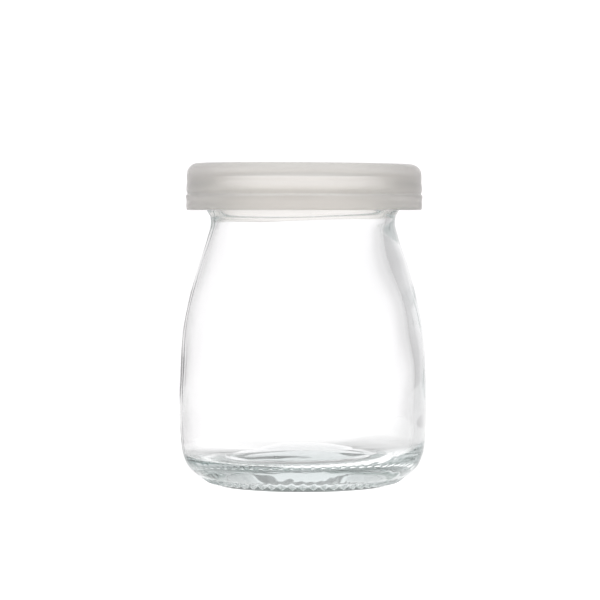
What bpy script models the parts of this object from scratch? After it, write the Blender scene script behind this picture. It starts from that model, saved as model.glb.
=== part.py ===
"""Small glass jar for pudding or yoghurt, with its push-on lid of soft translucent plastic.

Both pieces are turned shapes round the Z axis. An outline is a list of (radius, height)
stations in millimetres, joined by a smooth curve and spun. The jar stands on a narrow flat
foot ring, and a row of small knurls runs round the underside of its heel. Blender's units
are metres, with +Z up and the origin at the middle of the foot, on the plane it stands on.
"""

import math

import bmesh
import bpy
import numpy as np
from mathutils import Matrix, Vector

MM = 0.001

# Glass body, outside.
BODY_RADIUS = 32.0
WIDEST_HEIGHT = 19.0
HEEL_HEIGHT = 12.0
SHOULDER_RADIUS = 31.05
SHOULDER_HEIGHT = 39.8
NECK_RADIUS = 23.8
NECK_HEIGHT = 68.3

# Mouth: the bead that the lid snaps under, and the rounded rim above it.
BEAD_RADIUS = 28.4
BEAD_LOW = 75.0
RIM_HEIGHT = 81.0
MOUTH_RADIUS = 23.3

# Glass body, inside.
WALL = 2.1
FLOOR_HEIGHT = 6.6
FLOOR_CORNER = 3.0
DOME_RADIUS = 21.4
DOME_HEIGHT = 4.0

# Foot: a flat ring, the hollow inside it and the knurls outside it.
FOOT_INNER_RADIUS = 17.4
FOOT_OUTER_RADIUS = 18.9
PUNT_DEPTH = 1.8
KNURLS = 58
KNURL_RADIUS = 25.0
KNURL_HEIGHT = 1.62
KNURL_SLOPE = math.radians(22)
KNURL_WIDTH = 2.1
KNURL_LENGTH = 3.6
KNURL_PROUD = 0.45

# Lid.
LID_RADIUS = 30.2
LID_LOW = 70.8
LID_TOP = 82.7
LID_CORNER = 2.8
LID_PLATE = 1.3
LID_SKIRT = 1.2
LID_PANEL_RADIUS = 25.6
LID_PANEL_DEPTH = 0.35
LID_STEP_HEIGHT = 75.7
LID_STEP = 0.12
SNAP_RADIUS = 27.3
SNAP_HEIGHT = 72.7

SEGMENTS = 64
AXIS_WELD = 1e-7
SHARP_ANGLE = math.radians(40)


def smooth(stations, steps):
    """Cubic curve through the stations, cut into steps pieces for each span.

    The direction at a station is that of the parabola through it and its two neighbours,
    measured along the chords, so long and short spans meet without a bulge.
    """
    points = np.array(stations, float)
    chord = np.linalg.norm(np.diff(points, axis=0), axis=1)[:, None]
    pace = np.diff(points, axis=0) / chord
    slope = np.empty_like(points)
    slope[0], slope[-1] = pace[0], pace[-1]
    slope[1:-1] = (pace[:-1] * chord[1:] + pace[1:] * chord[:-1]) / (chord[:-1] + chord[1:])
    s = (np.arange(steps) / steps)[None, :, None]
    start, end = points[:-1, None], points[1:, None]
    leave, arrive = (slope[:-1] * chord)[:, None], (slope[1:] * chord)[:, None]
    curve = (1 + 2 * s) * (1 - s) ** 2 * start + s * (1 - s) ** 2 * leave
    curve += s**2 * (3 - 2 * s) * end - s**2 * (1 - s) * arrive
    return [tuple(point) for point in curve.reshape(-1, 2)] + [tuple(points[-1])]


def arc(centre, radius, start, end, steps):
    """Points of an arc from the start angle to the end angle, in degrees from +radius."""
    angles = np.radians(np.linspace(start, end, steps + 1))
    return [
        (centre[0] + radius * math.cos(angle), centre[1] + radius * math.sin(angle))
        for angle in angles
    ]


def spin(name, outline):
    """Closed solid turned from an outline that starts and ends on the axis."""
    mesh = bmesh.new()
    corners = [mesh.verts.new((radius * MM, 0, height * MM)) for radius, height in outline]
    edges = [mesh.edges.new(pair) for pair in zip(corners, corners[1:])]
    bmesh.ops.spin(
        mesh,
        geom=corners + edges,
        axis=(0, 0, 1),
        cent=(0, 0, 0),
        angle=math.tau,
        steps=SEGMENTS,
        use_merge=True,
    )
    bmesh.ops.remove_doubles(mesh, verts=mesh.verts, dist=AXIS_WELD)
    bmesh.ops.recalc_face_normals(mesh, faces=mesh.faces)
    return add_object(name, mesh)


def add_object(name, mesh):
    data = bpy.data.meshes.new(name)
    mesh.to_mesh(data)
    mesh.free()
    piece = bpy.data.objects.new(name, data)
    bpy.context.scene.collection.objects.link(piece)
    return piece


def foot_outline():
    """Domed hollow under the base, then the flat ring that the jar stands on."""
    dome = [
        (FOOT_INNER_RADIUS * share, PUNT_DEPTH * (1 - share**2)) for share in (0, 0.35, 0.7, 1)
    ]
    return dome + [(FOOT_OUTER_RADIUS, 0)]


def body_outline():
    """Rounded heel, nearly straight body, soft shoulder and neck, going up."""
    heel = [
        (FOOT_OUTER_RADIUS, 0),
        (21.9, 0.75),
        (24.7, 1.5),
        (27.7, 3.0),
        (29.8, 5.2),
        (31.05, 8.2),
        (31.65, HEEL_HEIGHT),
    ]
    side = [
        (31.65, HEEL_HEIGHT),
        (BODY_RADIUS, WIDEST_HEIGHT),
        (31.7, 29.0),
        (SHOULDER_RADIUS, SHOULDER_HEIGHT),
        (29.5, 47.8),
        (27.1, 56.6),
        (24.8, 63.4),
        (NECK_RADIUS, NECK_HEIGHT),
    ]
    return smooth(heel, 2)[1:-1] + smooth(side, 2)


def mouth_outline():
    """Flare above the neck, the bead, and the rim rounded over into the mouth."""
    return smooth(
        [
            (NECK_RADIUS, NECK_HEIGHT),
            (24.6, 70.3),
            (26.4, 73.4),
            (BEAD_RADIUS - 0.5, BEAD_LOW),
            (BEAD_RADIUS, BEAD_LOW + 1.5),
            (BEAD_RADIUS, RIM_HEIGHT - 2.4),
            (BEAD_RADIUS - 0.7, RIM_HEIGHT - 0.8),
            (BEAD_RADIUS - 2.2, RIM_HEIGHT),
            (MOUTH_RADIUS + 1.4, RIM_HEIGHT - 0.1),
            (MOUTH_RADIUS + 0.2, RIM_HEIGHT - 1.2),
        ],
        1,
    )[1:]


def inside_outline():
    """Inside of the mouth, a wall of even thickness, a rounded corner and the floor's low dome."""
    mouth = [(MOUTH_RADIUS, RIM_HEIGHT - 3.0), (22.5, 73.6), (NECK_RADIUS - WALL, 69.6)]
    corner_height = FLOOR_HEIGHT + FLOOR_CORNER
    body = reversed(body_outline())
    wall = [(radius - WALL, height) for radius, height in body if height > corner_height]
    centre = (wall[-1][0] - FLOOR_CORNER, corner_height)
    dome = [
        (DOME_RADIUS * share, FLOOR_HEIGHT + DOME_HEIGHT * (1 - share**2))
        for share in (1, 0.8, 0.6, 0.4, 0.2, 0)
    ]
    return mouth + wall + arc(centre, FLOOR_CORNER, 0, -90, 4) + dome


def make_knurl(name, turn):
    """Low faceted lens on the slope of the heel, half of it sunk in the glass."""
    mesh = bmesh.new()
    bmesh.ops.create_uvsphere(mesh, u_segments=6, v_segments=4, radius=1)
    size = Matrix.Diagonal((KNURL_LENGTH / 2, KNURL_WIDTH / 2, KNURL_PROUD, 1))
    tilt = Matrix.Rotation(-KNURL_SLOPE, 4, "Y")
    place = Matrix.Translation(Vector((KNURL_RADIUS, 0, KNURL_HEIGHT)))
    around = Matrix.Rotation(turn, 4, "Z")
    lens = Matrix.Scale(MM, 4) @ around @ place @ tilt @ size
    bmesh.ops.transform(mesh, matrix=lens, verts=mesh.verts)
    return add_object(name, mesh)


def fuse_knurls(jar):
    """Joins the ring of knurls to the jar by one union, then removes their objects."""
    ring = bpy.data.collections.new("knurls")
    bpy.context.scene.collection.children.link(ring)
    for i in range(KNURLS):
        knurl = make_knurl(f"knurl_{i:02d}", math.tau * i / KNURLS)
        bpy.context.scene.collection.objects.unlink(knurl)
        ring.objects.link(knurl)
    union = jar.modifiers.new("knurls", "BOOLEAN")
    union.operation = "UNION"
    union.operand_type = "COLLECTION"
    union.collection = ring
    bpy.context.view_layer.objects.active = jar
    bpy.ops.object.modifier_apply(modifier=union.name)
    for knurl in list(ring.objects):
        bpy.data.objects.remove(knurl)
    bpy.data.collections.remove(ring)


def make_jar():
    jar = spin("jar", foot_outline() + body_outline() + mouth_outline() + inside_outline())
    fuse_knurls(jar)
    return jar


def lid_outline():
    """Plate with a shallow panel, rounded corner, thin skirt and the snap bead inside it."""
    inner = LID_RADIUS - LID_SKIRT
    plate_low = LID_TOP - LID_PLATE
    top = [
        (0, LID_TOP - LID_PANEL_DEPTH),
        (LID_PANEL_RADIUS - 0.6, LID_TOP - LID_PANEL_DEPTH),
        (LID_PANEL_RADIUS, LID_TOP),
    ]
    corner = arc((LID_RADIUS - LID_CORNER, LID_TOP - LID_CORNER), LID_CORNER, 90, 0, 4)
    skirt = [
        (LID_RADIUS, LID_STEP_HEIGHT + 0.2),
        (LID_RADIUS + LID_STEP, LID_STEP_HEIGHT - 0.2),
        (LID_RADIUS + LID_STEP, LID_LOW + 0.3),
        (LID_RADIUS - 0.2, LID_LOW),
        (inner + 0.1, LID_LOW),
        (inner - 0.6, LID_LOW + 0.7),
    ]
    snap = [
        (SNAP_RADIUS + 0.3, SNAP_HEIGHT - 0.8),
        (SNAP_RADIUS, SNAP_HEIGHT),
        (SNAP_RADIUS + 0.4, SNAP_HEIGHT + 0.8),
        (inner, SNAP_HEIGHT + 2.0),
    ]
    roof = [(inner, plate_low - 0.9), (inner - 0.9, plate_low), (0, plate_low)]
    return top + corner + skirt + snap + roof


def make_lid():
    return spin("lid", lid_outline())


def shade(piece):
    for face in piece.data.polygons:
        face.use_smooth = True
    piece.data.set_sharp_from_angle(angle=SHARP_ANGLE)


def principled(name, colour, roughness, transmission, ior):
    material = bpy.data.materials.new(name)
    material.use_nodes = True
    shader = material.node_tree.nodes["Principled BSDF"]
    shader.inputs["Base Color"].default_value = (*colour, 1)
    shader.inputs["Metallic"].default_value = 0
    shader.inputs["Roughness"].default_value = roughness
    shader.inputs["Transmission Weight"].default_value = transmission
    shader.inputs["IOR"].default_value = ior
    return material


def main():
    for leftover in list(bpy.data.objects):
        bpy.data.objects.remove(leftover)
    jar, lid = make_jar(), make_lid()
    jar.data.materials.append(principled("soda_lime_glass", (0.93, 0.96, 0.94), 0.02, 1.0, 1.52))
    lid.data.materials.append(principled("moulded_ldpe", (0.80, 0.77, 0.73), 0.45, 0.6, 1.51))
    for piece in (jar, lid):
        shade(piece)


main()
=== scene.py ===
"""Glass pudding jar with its frosted plastic lid, dressed for a render.

The jar is one closed surface of moulded soda-lime glass with an uneven inner wall and a ring
of knurls under its heel. The lid is one closed surface of soft translucent plastic. Both are
turned shapes: an outline of (radius, height) rows is carried round the Z axis, and small
changes that depend on the angle are added to it. Lengths are in metres, +Z up, but the stations
that an outline is drawn through are in millimetres.
"""

import math

import bpy
import numpy as np
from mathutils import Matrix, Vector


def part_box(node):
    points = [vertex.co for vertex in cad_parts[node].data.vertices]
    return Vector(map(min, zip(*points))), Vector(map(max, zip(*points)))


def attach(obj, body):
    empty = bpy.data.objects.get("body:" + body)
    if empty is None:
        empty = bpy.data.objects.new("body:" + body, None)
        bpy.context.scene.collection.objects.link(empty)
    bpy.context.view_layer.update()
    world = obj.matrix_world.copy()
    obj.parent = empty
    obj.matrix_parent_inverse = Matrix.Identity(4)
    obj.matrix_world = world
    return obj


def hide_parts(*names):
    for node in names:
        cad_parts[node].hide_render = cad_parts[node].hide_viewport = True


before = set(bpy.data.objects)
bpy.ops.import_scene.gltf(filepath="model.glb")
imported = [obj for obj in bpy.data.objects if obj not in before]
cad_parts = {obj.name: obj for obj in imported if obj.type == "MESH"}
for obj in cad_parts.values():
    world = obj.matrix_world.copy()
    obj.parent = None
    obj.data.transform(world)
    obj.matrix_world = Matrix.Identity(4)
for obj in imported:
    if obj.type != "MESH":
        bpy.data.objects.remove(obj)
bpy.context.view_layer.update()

bl_info = {
    "name": "Glass Pudding Jar",
    "version": (1, 0, 0),
    "blender": (4, 5, 0),
    "location": "3D Viewport > Sidebar > Pudding Jar",
    "description": "Makes a small glass jar with a frosted push-on lid, and a plain studio for it",
    "category": "Object",
}

MM = 0.001
JAR_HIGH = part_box("jar")[1]
LID_LOW, LID_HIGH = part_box("lid")


# ---------------------------------------------------------------- sizes and colours


def length(name, description, default, **more):
    return bpy.props.FloatProperty(
        name=name, description=description, default=default, unit="LENGTH", precision=5, **more
    )


def colour(name, description, default):
    return bpy.props.FloatVectorProperty(
        name=name, description=description, default=linear(default), subtype="COLOR", size=3,
        min=0, max=1,
    )


def linear(code):
    """Linear red, green and blue of an sRGB hex colour, by the standard's two-part curve."""
    parts = np.array([int(code[i : i + 2], 16) for i in (1, 3, 5)]) / 255
    return tuple(np.where(parts <= 0.04045, parts / 12.92, ((parts + 0.055) / 1.055) ** 2.4))


class PuddingJarGlass(bpy.types.PropertyGroup):
    """Sizes of the glass."""

    body_radius: length("Body radius", "Largest radius of the body", JAR_HIGH[0])
    height: length("Height", "From the foot to the top of the rim", JAR_HIGH[2])
    neck_radius: length("Neck radius", "Outside of the narrowest place", 23.8 * MM)
    bead_radius: length("Bead radius", "Bead that the lid snaps over", 28.4 * MM)
    mouth_radius: length("Mouth radius", "Inside of the mouth", 23.3 * MM)
    foot_radius: length("Foot radius", "Outer edge of the flat foot ring", 18.9 * MM)
    floor_height: length("Floor height", "Top of the thick glass floor", 6.7 * MM)
    dome_height: length("Dome height", "Rise of the floor's low dome", 4.0 * MM)
    punt_depth: length("Punt depth", "Rise of the hollow under the base", 1.8 * MM)
    knurls: bpy.props.IntProperty(
        name="Knurls", description="Knurls round the heel", default=58, min=8
    )
    knurl_ring: length("Knurl ring", "Radius of the ring of knurls", 24.4 * MM)
    knurl_length: length("Knurl length", "From the inner to the outer tip", 5.0 * MM)
    knurl_width: length("Knurl width", "From side to side", 2.5 * MM)
    knurl_rise: length("Knurl rise", "How far a knurl stands out", 0.8 * MM)
    seam_rise: length("Seam rise", "Height of the two mould seams", 0.06 * MM)
    waviness: length("Waviness", "Depth of the slow waves in the inner wall", 0.07 * MM)
    ripple: length("Ripple", "Depth of the chill ripples in the base", 0.05 * MM)


class PuddingJarLid(bpy.types.PropertyGroup):
    """Sizes of the lid."""

    radius: length("Radius", "Outside of the skirt's lower edge", LID_HIGH[0])
    low: length("Lower edge", "Height of the skirt's lower edge", LID_LOW[2])
    top: length("Top", "Height of the rim of the lid", LID_HIGH[2])
    skirt: length("Skirt", "Thickness of the skirt", 1.2 * MM)
    plate: length("Plate", "Thickness of the top plate", 1.3 * MM)
    corner: length("Corner", "Radius of the top edge", 2.8 * MM)
    offset: length("Offset", "How far the lid sits to one side", 0.33 * MM)
    sag: length("Sag", "How much lower the lid's top is on that side", 0.2 * MM)


class PuddingJarFinish(bpy.types.PropertyGroup):
    """Colours of the glass and the plastic."""

    glass_tint: colour("Glass tint", "Colour left in light after the glass", "#98B6B4")
    glass_depth: bpy.props.FloatProperty(
        name="Glass tint depth", description="Strength of the tint per metre", default=9.0, min=0
    )
    lid_colour: colour("Lid colour", "Colour of the plastic", "#FEFBF7")
    lid_haze: bpy.props.FloatProperty(
        name="Lid haze", description="Roughness of the plastic", default=0.32, min=0, max=1,
        subtype="FACTOR",
    )


class PuddingJarStage(bpy.types.PropertyGroup):
    """Camera and studio."""

    eye_distance: length("Eye distance", "From the jar's axis to the camera", 0.7227)
    eye_height: length("Eye height", "Camera above the floor", 0.0708)
    eye_side: length("Eye side", "Camera beside the jar's axis", -0.00075)
    tilt: bpy.props.FloatProperty(
        name="Tilt", description="How far the camera looks down", default=math.radians(1.84),
        subtype="ANGLE",
    )
    lens: bpy.props.FloatProperty(
        name="Lens", description="Focal length in millimetres", default=168.0, min=1
    )
    board_radius: length("Board radius", "Radius of the round board under the jar", 0.26)
    floor_colour: colour("Floor colour", "Colour of the board", "#6A6A6A")


# ---------------------------------------------------------------- turned surfaces


SPAN_CUTS = 32


def smooth_outline(stations, rows):
    """Rows of (radius, height) at even steps along a smooth curve through the stations.

    Each span is a cubic that leaves and reaches its stations in the direction of the parabola
    through a station and its neighbours. Each cubic is cut into SPAN_CUTS pieces, the running
    length is added up, and the rows are read off at equal parts of it.
    """
    points = np.array(stations, float)
    chord = np.linalg.norm(np.diff(points, axis=0), axis=1)[:, None]
    pace = np.diff(points, axis=0) / chord
    slope = np.vstack([pace[:1], pace])
    slope[1:-1] = (pace[:-1] * chord[1:] + pace[1:] * chord[:-1]) / (chord[:-1] + chord[1:])
    s = np.linspace(0, 1, SPAN_CUTS, endpoint=False)[None, :, None]
    start, end = points[:-1, None], points[1:, None]
    curve = (1 + 2 * s) * (1 - s) ** 2 * start + s * (1 - s) ** 2 * (slope[:-1] * chord)[:, None]
    curve = curve + s**2 * (3 - 2 * s) * end - s**2 * (1 - s) * (slope[1:] * chord)[:, None]
    fine = np.vstack([curve.reshape(-1, 2), points[-1:]])
    run = np.concatenate([[0], np.cumsum(np.linalg.norm(np.diff(fine, axis=0), axis=1))])
    even = np.linspace(0, run[-1], rows)
    return np.column_stack([np.interp(even, run, fine[:, 0]), np.interp(even, run, fine[:, 1])])


def joined(*runs):
    """One outline from several, where each starts at the point that the last one ends on."""
    return np.vstack([runs[0], *[run[1:] for run in runs[1:]]])


def turned_piece(name, radius, height, side=0.0):
    """Closed surface turned round Z.

    radius and height are arrays of rows by columns. Column k stands at the angle k / columns of
    a turn, so a point is (side + radius cos angle, radius sin angle, height). The first and last
    rows must lie on the axis, and each becomes one point with a fan of triangles.
    """
    rows, columns = radius.shape
    angle = np.linspace(0, math.tau, columns, endpoint=False)
    grid = np.stack([side + radius * np.cos(angle), radius * np.sin(angle), height], axis=-1)
    points = np.vstack([grid[:1, 0], grid[1:-1].reshape(-1, 3), grid[-1:, 0]])
    index = 1 + np.arange((rows - 2) * columns).reshape(rows - 2, columns)
    onward = np.roll(index, -1, axis=1)
    quads = np.stack([index[:-1], onward[:-1], onward[1:], index[1:]], axis=-1).reshape(-1, 4)
    low = np.stack([np.zeros(columns, int), onward[0], index[0]], axis=-1)
    high = np.stack([index[-1], onward[-1], np.full(columns, len(points) - 1)], axis=-1)
    corners = np.concatenate([low.ravel(), quads.ravel(), high.ravel()])
    sizes = np.concatenate([np.full(columns, 3), np.full(len(quads), 4), np.full(columns, 3)])
    mesh = bpy.data.meshes.new(name)
    mesh.vertices.add(len(points))
    mesh.vertices.foreach_set("co", points.ravel())
    mesh.loops.add(len(corners))
    mesh.loops.foreach_set("vertex_index", corners)
    mesh.polygons.add(len(sizes))
    mesh.polygons.foreach_set("loop_start", np.concatenate([[0], np.cumsum(sizes)[:-1]]))
    mesh.update(calc_edges=True)
    mesh.shade_smooth()
    piece = bpy.data.objects.new(name, mesh)
    bpy.context.scene.collection.objects.link(piece)
    return piece


def outward(outline):
    """Unit normals of an outline: each row's direction, a quarter turn to the right."""
    along = np.gradient(outline, axis=0)
    along /= np.linalg.norm(along, axis=1)[:, None]
    return np.column_stack([along[:, 1], -along[:, 0]])


# ---------------------------------------------------------------- materials


def add_node(tree, kind, settings=None, **inputs):
    """Adds a node, sets its properties and fills or links its inputs.

    An underscore in an input's name stands for a space, and in3 for the input with number 3. A
    value that is a socket is linked.
    """
    node = tree.nodes.new(kind)
    for key, value in (settings or {}).items():
        setattr(node, key, value)
    for key, value in inputs.items():
        numbered = key[:2] == "in" and key[2:].isdigit()
        socket = node.inputs[int(key[2:]) if numbered else key.replace("_", " ")]
        if isinstance(value, bpy.types.NodeSocket):
            tree.links.new(value, socket)
        else:
            socket.default_value = value
    return node


def new_material(name):
    material = bpy.data.materials.new(name)
    material.use_nodes = True
    material.node_tree.nodes.clear()
    return material, material.node_tree


def soda_lime_glass(finish):
    """Moulded and fire-polished soda-lime glass.

    It is clear and glossy, with a blue-green tinge where light goes a long way through it. The
    slow noise under its gloss keeps reflections from being perfectly straight.
    """
    material, tree = new_material("soda_lime_glass")
    place = add_node(tree, "ShaderNodeTexCoord").outputs["Object"]
    waves = add_node(tree, "ShaderNodeTexNoise", Vector=place, Scale=140.0, Detail=1.0)
    bump = add_node(
        tree, "ShaderNodeBump", Strength=0.05, Distance=0.0002, Height=waves.outputs["Fac"]
    )
    shader = add_node(
        tree, "ShaderNodeBsdfPrincipled", Base_Color=(1, 1, 1, 1), Roughness=0.0, IOR=1.52,
        Transmission_Weight=1.0, Normal=bump.outputs["Normal"],
    )
    tint = add_node(
        tree, "ShaderNodeVolumeAbsorption", Color=(*finish.glass_tint, 1),
        Density=finish.glass_depth,
    )
    out = add_node(tree, "ShaderNodeOutputMaterial", Surface=shader.outputs["BSDF"])
    tree.links.new(tint.outputs["Volume"], out.inputs["Volume"])
    return material


def moulded_ldpe(finish):
    """Injection-moulded low-density polyethylene.

    It is frosted and satin: light passes, but it blurs what lies behind, and a fine grain
    breaks up its highlights.
    """
    material, tree = new_material("moulded_ldpe")
    place = add_node(tree, "ShaderNodeTexCoord").outputs["Object"]
    skin = add_node(tree, "ShaderNodeTexNoise", Vector=place, Scale=900.0, Detail=2.0)
    bump = add_node(
        tree, "ShaderNodeBump", Strength=0.15, Distance=0.0001, Height=skin.outputs["Fac"]
    )
    shader = add_node(
        tree, "ShaderNodeBsdfPrincipled", Base_Color=(*finish.lid_colour, 1),
        Roughness=finish.lid_haze, IOR=1.51, Transmission_Weight=1.0,
        Normal=bump.outputs["Normal"],
    )
    add_node(tree, "ShaderNodeOutputMaterial", Surface=shader.outputs["BSDF"])
    return material


def light_around(tree, place):
    """Level of the studio's light by the direction round the jar, as a colour socket.

    The angle is the arc tangent of the X and Y parts of place, 0 towards +Y and growing towards
    +X, and an eased colour ramp turns it into the levels of AROUND.
    """
    parts = add_node(tree, "ShaderNodeSeparateXYZ", Vector=place)
    turn = add_node(
        tree, "ShaderNodeMath", {"operation": "ARCTAN2"}, in0=parts.outputs["X"],
        in1=parts.outputs["Y"],
    )
    share = add_node(
        tree, "ShaderNodeMapRange", Value=turn.outputs["Value"], From_Min=-math.pi, From_Max=math.pi
    )
    around = add_node(tree, "ShaderNodeValToRGB", Fac=share.outputs["Result"])
    ramp = around.color_ramp
    ramp.interpolation = "EASE"
    for _ in AROUND[2:]:
        ramp.elements.new(0.5)
    for stop, (degrees, level) in zip(ramp.elements, AROUND):
        stop.position = (degrees + 180) / 360
        stop.color = (*[level * part for part in TENT_TINT], 1)
    return around.outputs["Color"]


def studio_floor(stage):
    """Pale satin board with painted light: it glows so that it runs on into the tent.

    Away from the jar the painted glow follows the tent's own levels by direction, and near it
    the glow is even and dimmer, with a painted pool of light in front of the jar. A painted
    contact shadow leaves it nearly dark where the foot stands, and a round painted shadow lies
    behind the jar: the thick base takes its grey tones from both.
    """
    material, tree = new_material("pale_floor")
    place = add_node(tree, "ShaderNodeTexCoord").outputs["Object"]
    parts = add_node(tree, "ShaderNodeSeparateXYZ", Vector=place)
    away = add_node(tree, "ShaderNodeVectorMath", {"operation": "LENGTH"}, in0=place)
    ring = add_node(
        tree, "ShaderNodeMapRange", {"interpolation_type": "SMOOTHSTEP"},
        Value=away.outputs["Value"], From_Min=GLOW_RING[0], From_Max=GLOW_RING[1], To_Min=0.0,
        To_Max=GLOW_FAR,
    )
    around = add_node(
        tree, "ShaderNodeMath", {"operation": "MULTIPLY"}, in0=light_around(tree, place),
        in1=ring.outputs["Result"],
    )
    even = add_node(
        tree, "ShaderNodeMath", {"operation": "MAXIMUM"}, in0=around.outputs["Value"],
        in1=GLOW_NEAR,
    )
    # Painted pool of light: extra glow in front of the jar, strongest close to it.
    front = add_node(
        tree, "ShaderNodeMapRange", {"interpolation_type": "SMOOTHSTEP"},
        Value=parts.outputs["Y"], From_Min=FRONT_DEPTH[0], From_Max=FRONT_DEPTH[1], To_Min=1.0,
        To_Max=0.0,
    )
    close = add_node(
        tree, "ShaderNodeMapRange", {"interpolation_type": "SMOOTHSTEP"},
        Value=away.outputs["Value"], From_Min=FRONT_RING[0], From_Max=FRONT_RING[1],
        To_Min=GLOW_FRONT, To_Max=GLOW_FRONT_FAR,
    )
    glow = add_node(
        tree, "ShaderNodeMath", {"operation": "MULTIPLY_ADD"}, in0=front.outputs["Result"],
        in1=close.outputs["Result"], in2=even.outputs["Value"],
    )
    # Painted contact shadow: the glow is nearly dark where the foot stands.
    contact_shade = add_node(
        tree, "ShaderNodeMapRange", {"interpolation_type": "SMOOTHSTEP"},
        Value=away.outputs["Value"], From_Min=CONTACT_SHADE_RING[0], From_Max=CONTACT_SHADE_RING[1],
        To_Min=CONTACT_SHADE,
    )
    lit = add_node(
        tree, "ShaderNodeMath", {"operation": "MULTIPLY"}, in0=glow.outputs["Value"],
        in1=contact_shade.outputs["Result"],
    )
    # Painted shadow: a round patch of dimmer glow behind the jar.
    behind = add_node(
        tree, "ShaderNodeVectorMath", {"operation": "DISTANCE"}, in0=place, in1=SHADOW_MIDDLE
    )
    shadow = add_node(
        tree, "ShaderNodeMapRange", {"interpolation_type": "SMOOTHSTEP"},
        Value=behind.outputs["Value"], From_Min=SHADOW_RING[0], From_Max=SHADOW_RING[1],
        To_Min=SHADOW,
    )
    level = add_node(
        tree, "ShaderNodeMath", {"operation": "MULTIPLY"}, in0=lit.outputs["Value"],
        in1=shadow.outputs["Result"],
    )
    # The board's emission is painted light and shade: its level stands in for light falling on it.
    shader = add_node(
        tree, "ShaderNodeBsdfPrincipled", Base_Color=(*stage.floor_colour, 1), Roughness=0.2,
        IOR=1.5, Emission_Color=(1, 1, 1, 1), Emission_Strength=level.outputs["Value"],
    )
    add_node(tree, "ShaderNodeOutputMaterial", Surface=shader.outputs["BSDF"])
    return material


# ---------------------------------------------------------------- the glass


COLUMNS_PER_KNURL = 8
INSIDE_ROWS = 76
SEAM_ANGLE = math.radians(9.3)
SEAM_WIDTH = 0.35 * MM
RIPPLED_FLOOR_HEIGHT = 9 * MM

# Bands of chill ripples: inner and outer radius in millimetres, and their depth as a part of
# the property's. The corner's band is added to the floor's. On the heel the pattern's angle
# runs three times as fast.
HEEL_RIPPLES = (25, 31, 0.7)
UNDER_RIPPLES = (-3, 16, 0.5)
FLOOR_RIPPLES = (12, 27, 1.0)
CORNER_RIPPLES = (17, 27, 2.0)


def glass_outside(sizes):
    """Outline from the middle of the punt, over the foot, up the side and over the rim."""
    foot, neck, bead = sizes.foot_radius / MM, sizes.neck_radius / MM, sizes.bead_radius / MM
    body, rim, mouth = sizes.body_radius / MM, sizes.height / MM, sizes.mouth_radius / MM
    punt = sizes.punt_depth / MM
    share = np.linspace(0, 1, 5)
    hollow = [((foot - 2.0) * t, punt * (1 - 0.85 * t**2)) for t in share]
    under = smooth_outline([*hollow, (foot - 1.3, 0.03), (foot - 0.9, 0.0), (foot, 0.0)], 18)
    heel = smooth_outline(
        [(foot, 0.0), (21.9, 0.75), (24.7, 1.5), (27.7, 3.0), (29.8, 5.2), (31.05, 8.2),
         (body - 0.35, 12.0)], 48,
    )
    side = smooth_outline(
        [(body - 0.35, 12.0), (body, 19.0), (31.7, 29.0), (31.05, 39.8), (29.5, 47.8),
         (27.1, 56.6), (24.8, 63.4), (neck, 67.6), (neck + 0.15, 69.2), (24.8, 70.6), (26.4, 73.4),
         (bead - 0.6, 74.4), (bead, 75.5), (bead, rim - 3.0), (bead - 0.8, rim - 1.1),
         (bead - 2.2, rim), (mouth + 1.4, rim - 0.1), (mouth + 0.2, rim - 1.2)], 62,
    )
    return under * MM, heel * MM, side * MM


def glass_inside(sizes, rows):
    """Two outlines of the inner wall, from the rim down to the middle of the floor.

    The first is that of the thin side of the jar and the second that of the thick side. They
    start at the same point of the rim and end at the same point of the floor's low dome.
    """
    mouth, rim = sizes.mouth_radius / MM, sizes.height / MM
    floor, dome = sizes.floor_height / MM, sizes.dome_height / MM
    top = [(mouth + 0.2, rim - 1.2), (mouth, 78.0), (22.7, 74.0)]
    low = [(24.0, floor - 0.2), (21.4, floor), (17.0, floor + 0.38 * dome),
           (10.0, floor + 0.79 * dome), (4.0, floor + 0.965 * dome), (0.0, floor + dome)]
    thin = [(22.1, 71.4), (21.85, 69.2), (21.95, 67.0), (22.6, 64.6), (25.5, 56.6), (26.95, 52.0),
            (28.1, 47.5), (29.0, 43.0), (29.6, 38.0), (30.1, 31.4), (30.4, 24.0), (30.45, 17.0),
            (30.3, 11.5), (29.8, 8.2), (29.0, 6.8), (27.5, 6.0)]
    thick = [(21.7, 71.4), (21.25, 69.2), (21.05, 67.0), (21.05, 64.5), (21.7, 60.8),
             (22.9, 57.2), (24.7, 52.3), (26.45, 47.3), (27.55, 43.0), (28.25, 38.0),
             (28.65, 32.0), (28.9, 25.0), (29.0, 19.0), (28.85, 14.0), (28.5, 10.8),
             (27.6, 8.5), (26.0, 7.1)]
    return [smooth_outline([*top, *wall, *low], rows) * MM for wall in (thin, thick)]


def wall_waves(sizes, height, angle):
    """Slow waves in the inner wall, as two sines of angle and height, faded out at both ends."""
    z = height / MM
    waves = np.sin(3 * angle + 0.16 * z + 1.0) + 0.8 * np.sin(5 * angle - 0.31 * z + 2.2)
    fade = np.clip((z - 9) / 6, 0, 1) * np.clip((74 - z) / 6, 0, 1)
    return sizes.waviness * fade * waves


def knurl_diamonds(sizes, radius, angle):
    """Rise of the knurls: each a low four-sided pyramid, its corners on the ring and across it.

    The rise falls evenly with the distance along the radius plus that round the ring, each as a
    part of half the knurl's size.
    """
    turn = angle * sizes.knurls / math.tau % 1 - 0.5
    across = turn * math.tau * sizes.knurl_ring / sizes.knurls / (sizes.knurl_width / 2)
    along = (radius - sizes.knurl_ring) / (sizes.knurl_length / 2)
    return sizes.knurl_rise * np.clip(1 - np.abs(along) - np.abs(across), 0, 1)


def mould_seams(sizes, radius, height, angle):
    """Rise of the two seams up the sides: a narrow bell curve of the distance round the jar."""
    away = np.abs((angle - SEAM_ANGLE + math.pi / 2) % math.pi - math.pi / 2) * radius
    z = height / MM
    fade = np.clip((z - 4) / 3, 0, 1) * np.clip((74 - z) / 2, 0, 1)
    return sizes.seam_rise * fade * np.exp(-((away / SEAM_WIDTH) ** 2))


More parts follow.
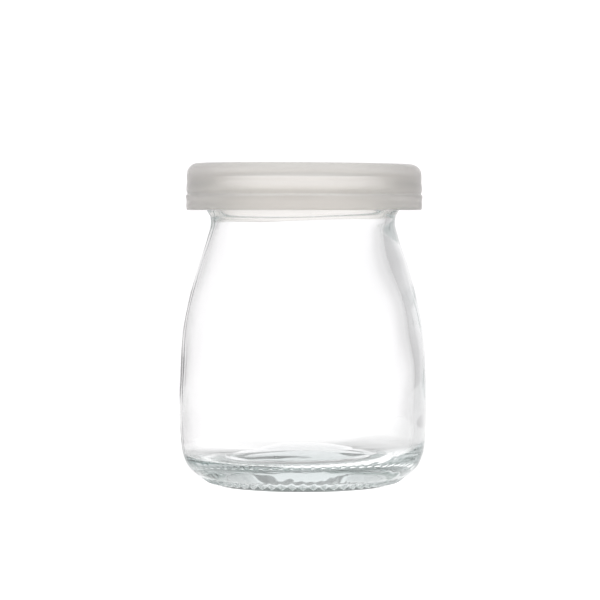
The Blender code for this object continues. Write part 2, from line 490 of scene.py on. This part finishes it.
def chill_ripples(sizes, radius, angle, band):
    """Ripples in a band of the base: the product of two slanting sines, faded in and out."""
    inner, outer, part = band
    x, y = radius * np.cos(angle) / MM, radius * np.sin(angle) / MM
    waves = np.sin(0.32 * x + 0.40 * y + 0.8) * np.sin(0.62 * y - 0.12 * x + 0.3)
    fade_in = np.clip((radius / MM - inner) / 3, 0, 1)
    fade_out = np.clip((outer - radius / MM) / 3, 0, 1)
    return part * sizes.ripple * waves * fade_in * fade_out


class PUDDINGJAR_OT_make_glass(bpy.types.Operator):
    """Make the glass jar as one closed surface"""

    bl_idname = "pudding_jar.make_glass"
    bl_label = "Make Glass"

    def execute(self, context):
        sizes, finish = context.scene.pudding_jar_glass, context.scene.pudding_jar_finish
        columns = sizes.knurls * COLUMNS_PER_KNURL
        angle = np.linspace(0, math.tau, columns, endpoint=False)[None, :]
        under, heel, side = glass_outside(sizes)
        thin, thick = glass_inside(sizes, INSIDE_ROWS)
        outside = joined(under, heel, side)
        on_heel = slice(len(under) - 1, len(under) - 1 + len(heel))
        rise = mould_seams(sizes, outside[:, :1], outside[:, 1:], angle)
        rise[on_heel] += knurl_diamonds(sizes, heel[:, :1], angle)
        rise[on_heel] += chill_ripples(sizes, heel[:, :1], 3 * angle + 0.7, HEEL_RIPPLES)
        normal = outward(outside)
        under_rise = np.zeros_like(rise)
        under_rise[: len(under)] = chill_ripples(sizes, under[:, :1], angle, UNDER_RIPPLES)
        # The wall passes from the thin outline at -X to the thick one at +X.
        share = (1 + np.cos(angle))[..., None] / 2
        inside = (thin[1:, None] * (1 - share) + thick[1:, None] * share).transpose(2, 0, 1)
        inside[0] -= wall_waves(sizes, inside[1], angle)
        on_floor = inside[1] < RIPPLED_FLOOR_HEIGHT
        inside[1] += on_floor * chill_ripples(sizes, inside[0], angle, FLOOR_RIPPLES)
        inside[1] += on_floor * chill_ripples(sizes, inside[0], angle + 1, CORNER_RIPPLES)
        radius = np.vstack([outside[:, :1] + normal[:, :1] * rise, inside[0]])
        height = np.vstack([outside[:, 1:] + normal[:, 1:] * rise + under_rise, inside[1]])
        piece = turned_piece("jar_glass", radius, height)
        piece.data.materials.append(soda_lime_glass(finish))
        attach(piece, "root")
        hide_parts("jar")
        return {"FINISHED"}


# ---------------------------------------------------------------- the lid


LID_COLUMNS = 288
LID_STEP = 0.12


def lid_outline(sizes):
    """Outline of the lid from the middle of its top, down the skirt and back under the plate.

    The skirt stands LID_STEP millimetres further out in its lower band, below a fine groove.
    """
    r, low, top = sizes.radius / MM, sizes.low / MM, sizes.top / MM
    upper = r - LID_STEP
    inner = upper - sizes.skirt / MM
    roof = top - sizes.plate / MM
    corner = sizes.corner / MM
    turn = np.radians(np.linspace(90, 0, 6))
    bend = [(upper - corner * (1 - math.cos(t)), top - corner * (1 - math.sin(t))) for t in turn]
    panel = smooth_outline([(0, top - 0.35), (12.0, top - 0.35), (24.7, top - 0.35),
                            (25.3, top - 0.2), (25.8, top - 0.02), (26.4, top)], 24)
    edge = smooth_outline([(26.4, top), *bend, (upper, 78.0)], 20)
    skirt = smooth_outline([(upper, 78.0), (upper, 75.3), (r - 0.24, 75.05),
                            (r - 0.22, 74.85), (r, 74.65), (r, 73.0), (r, low + 0.35),
                            (r - 0.1, low + 0.1), (r - 0.35, low)], 70)
    snap = smooth_outline([(r - 0.35, low), (inner + 0.2, low), (inner - 0.3, low + 0.3),
                           (28.6, 71.8), (28.35, 72.7), (28.45, 73.7), (28.8, 74.5),
                           (inner, 75.2), (inner, 77.0), (inner, roof - 2.9),
                           (inner - 0.8, roof - 1.0), (inner - 2.6, roof), (25.0, roof)], 44)
    under = smooth_outline([(25.0, roof), (13.0, roof), (0, roof)], 12)
    return joined(panel, edge, skirt, snap, under) * MM


class PUDDINGJAR_OT_make_lid(bpy.types.Operator):
    """Make the frosted push-on lid as one closed surface"""

    bl_idname = "pudding_jar.make_lid"
    bl_label = "Make Lid"

    def execute(self, context):
        sizes, finish = context.scene.pudding_jar_lid, context.scene.pudding_jar_finish
        angle = np.linspace(0, math.tau, LID_COLUMNS, endpoint=False)[None, :]
        outline = lid_outline(sizes)[::-1]
        radius = np.repeat(outline[:, :1], LID_COLUMNS, axis=1)
        height = np.repeat(outline[:, 1:], LID_COLUMNS, axis=1)
        way_up = np.clip((height - sizes.low) / (sizes.top - sizes.low), 0, 1)
        height = height - sizes.sag * way_up * radius * np.cos(angle) / sizes.radius
        piece = turned_piece("lid_plastic", radius, height, sizes.offset)
        piece.data.materials.append(moulded_ldpe(finish))
        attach(piece, "root")
        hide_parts("lid")
        return {"FINISHED"}


# ---------------------------------------------------------------- the studio


# Degrees to the right of the backdrop's middle against the light from there, near the horizon.
AROUND = ((-180, 0.95), (-90, 0.92), (-65, 0.80), (-42, 0.62), (-24, 0.76), (-10, 1.0), (0, 1.0),
          (10, 1.0), (20, 0.78), (30, 0.60), (44, 0.55), (65, 0.75), (90, 0.92), (180, 0.95))
TENT_TINT = (1.0, 0.985, 0.995)
STUDIO_STRENGTH = 1.10

# Light from overhead, and the upward part of a direction where it begins and where it is full.
OVERHEAD = 0.74
OVERHEAD_PART = (0.35, 0.70)

# Levels of the board's painted glow, and the distances from the jar's axis over which they
# change. The extra glow in front of the jar, a painted pool of light, fades out over the Y places
# of FRONT_DEPTH.
GLOW_NEAR, GLOW_FAR = 0.46, 0.55
GLOW_RING = (28 * MM, 60 * MM)
GLOW_FRONT, GLOW_FRONT_FAR = 0.90, 0.20
FRONT_RING = (28 * MM, 75 * MM)
FRONT_DEPTH = (-14 * MM, 21 * MM)

# Parts of the glow that are left in the painted contact shadow under the foot and in the
# painted shadow behind the jar.
CONTACT_SHADE, SHADOW = 0.10, 0.33
CONTACT_SHADE_RING = (20.5 * MM, 23.5 * MM)
SHADOW_MIDDLE = (0, 22 * MM, 0)
SHADOW_RING = (19 * MM, 27 * MM)

BOARD_CORNERS = 96
GLASS_BOUNCES = 48


class PUDDINGJAR_OT_make_stage(bpy.types.Operator):
    """Make the floor, the light and the camera"""

    bl_idname = "pudding_jar.make_stage"
    bl_label = "Make Stage"

    def execute(self, context):
        stage = context.scene.pudding_jar_stage
        make_floor(stage)
        make_surroundings(context.scene)
        make_camera(context.scene, stage)
        context.scene.view_settings.view_transform = "Standard"
        # Light is caught in the thick base and the rim for many turns before it leaves.
        context.scene.cycles.max_bounces = GLASS_BOUNCES
        context.scene.cycles.glossy_bounces = GLASS_BOUNCES
        context.scene.cycles.transmission_bounces = GLASS_BOUNCES
        return {"FINISHED"}


def make_floor(stage):
    """Round board with the jar at its middle: a flat disc, its corners at even angles."""
    angle = np.linspace(0, math.tau, BOARD_CORNERS, endpoint=False)
    rim = stage.board_radius * np.column_stack([np.cos(angle), np.sin(angle), 0 * angle])
    mesh = bpy.data.meshes.new("floor")
    mesh.from_pydata(rim.tolist(), [], [range(len(rim))])
    floor = bpy.data.objects.new("floor", mesh)
    bpy.context.scene.collection.objects.link(floor)
    floor.data.materials.append(studio_floor(stage))


def make_surroundings(scene):
    """Soft white tent: its light differs round the jar near the horizon, and is even overhead."""
    world = bpy.data.worlds.new("studio")
    world.use_nodes = True
    tree = world.node_tree
    tree.nodes.clear()
    place = add_node(tree, "ShaderNodeTexCoord").outputs["Generated"]
    parts = add_node(tree, "ShaderNodeSeparateXYZ", Vector=place)
    up = add_node(
        tree, "ShaderNodeMapRange", {"interpolation_type": "SMOOTHSTEP"},
        Value=parts.outputs["Z"], From_Min=OVERHEAD_PART[0], From_Max=OVERHEAD_PART[1],
    )
    light = add_node(
        tree, "ShaderNodeMix", {"data_type": "RGBA"}, Factor=up.outputs["Result"],
        in6=light_around(tree, place), in7=(OVERHEAD, OVERHEAD, OVERHEAD, 1),
    )
    back = add_node(
        tree, "ShaderNodeBackground", Color=light.outputs[2], Strength=STUDIO_STRENGTH
    )
    add_node(tree, "ShaderNodeOutputWorld", Surface=back.outputs["Background"])
    scene.world = world


def make_camera(scene, stage):
    lens = bpy.data.cameras.new("camera")
    lens.lens, lens.sensor_width = stage.lens, 36.0
    lens.clip_start, lens.clip_end = 0.01, 50.0
    camera = bpy.data.objects.new("camera", lens)
    camera.location = (stage.eye_side, -stage.eye_distance, stage.eye_height)
    camera.rotation_euler = (math.radians(90) - stage.tilt, 0, 0)
    scene.collection.objects.link(camera)
    scene.camera = camera


# ---------------------------------------------------------------- panel and main


class PUDDINGJAR_PT_panel(bpy.types.Panel):
    """Lists the sizes and the pieces"""

    bl_idname = "PUDDINGJAR_PT_panel"
    bl_label = "Pudding Jar"
    bl_space_type = "VIEW_3D"
    bl_region_type = "UI"
    bl_category = "Pudding Jar"

    def draw(self, context):
        for group, maker in GROUPS.items():
            box = self.layout.box()
            for name in getattr(context.scene, group).__annotations__:
                box.prop(getattr(context.scene, group), name)
            if maker:
                box.operator(maker)


GROUPS = {
    "pudding_jar_glass": "pudding_jar.make_glass",
    "pudding_jar_lid": "pudding_jar.make_lid",
    "pudding_jar_finish": None,
    "pudding_jar_stage": "pudding_jar.make_stage",
}
PROPERTIES = dict(
    zip(GROUPS, (PuddingJarGlass, PuddingJarLid, PuddingJarFinish, PuddingJarStage))
)
CLASSES = (
    *PROPERTIES.values(),
    PUDDINGJAR_OT_make_glass,
    PUDDINGJAR_OT_make_lid,
    PUDDINGJAR_OT_make_stage,
    PUDDINGJAR_PT_panel,
)


def register():
    for kind in CLASSES:
        bpy.utils.register_class(kind)
    for name, kind in PROPERTIES.items():
        setattr(bpy.types.Scene, name, bpy.props.PointerProperty(type=kind))


def unregister():
    for name in PROPERTIES:
        delattr(bpy.types.Scene, name)
    for kind in reversed(CLASSES):
        bpy.utils.unregister_class(kind)


def main():
    register()
    bpy.ops.pudding_jar.make_stage()
    bpy.ops.pudding_jar.make_glass()
    bpy.ops.pudding_jar.make_lid()


if __name__ == "__main__":
    main()
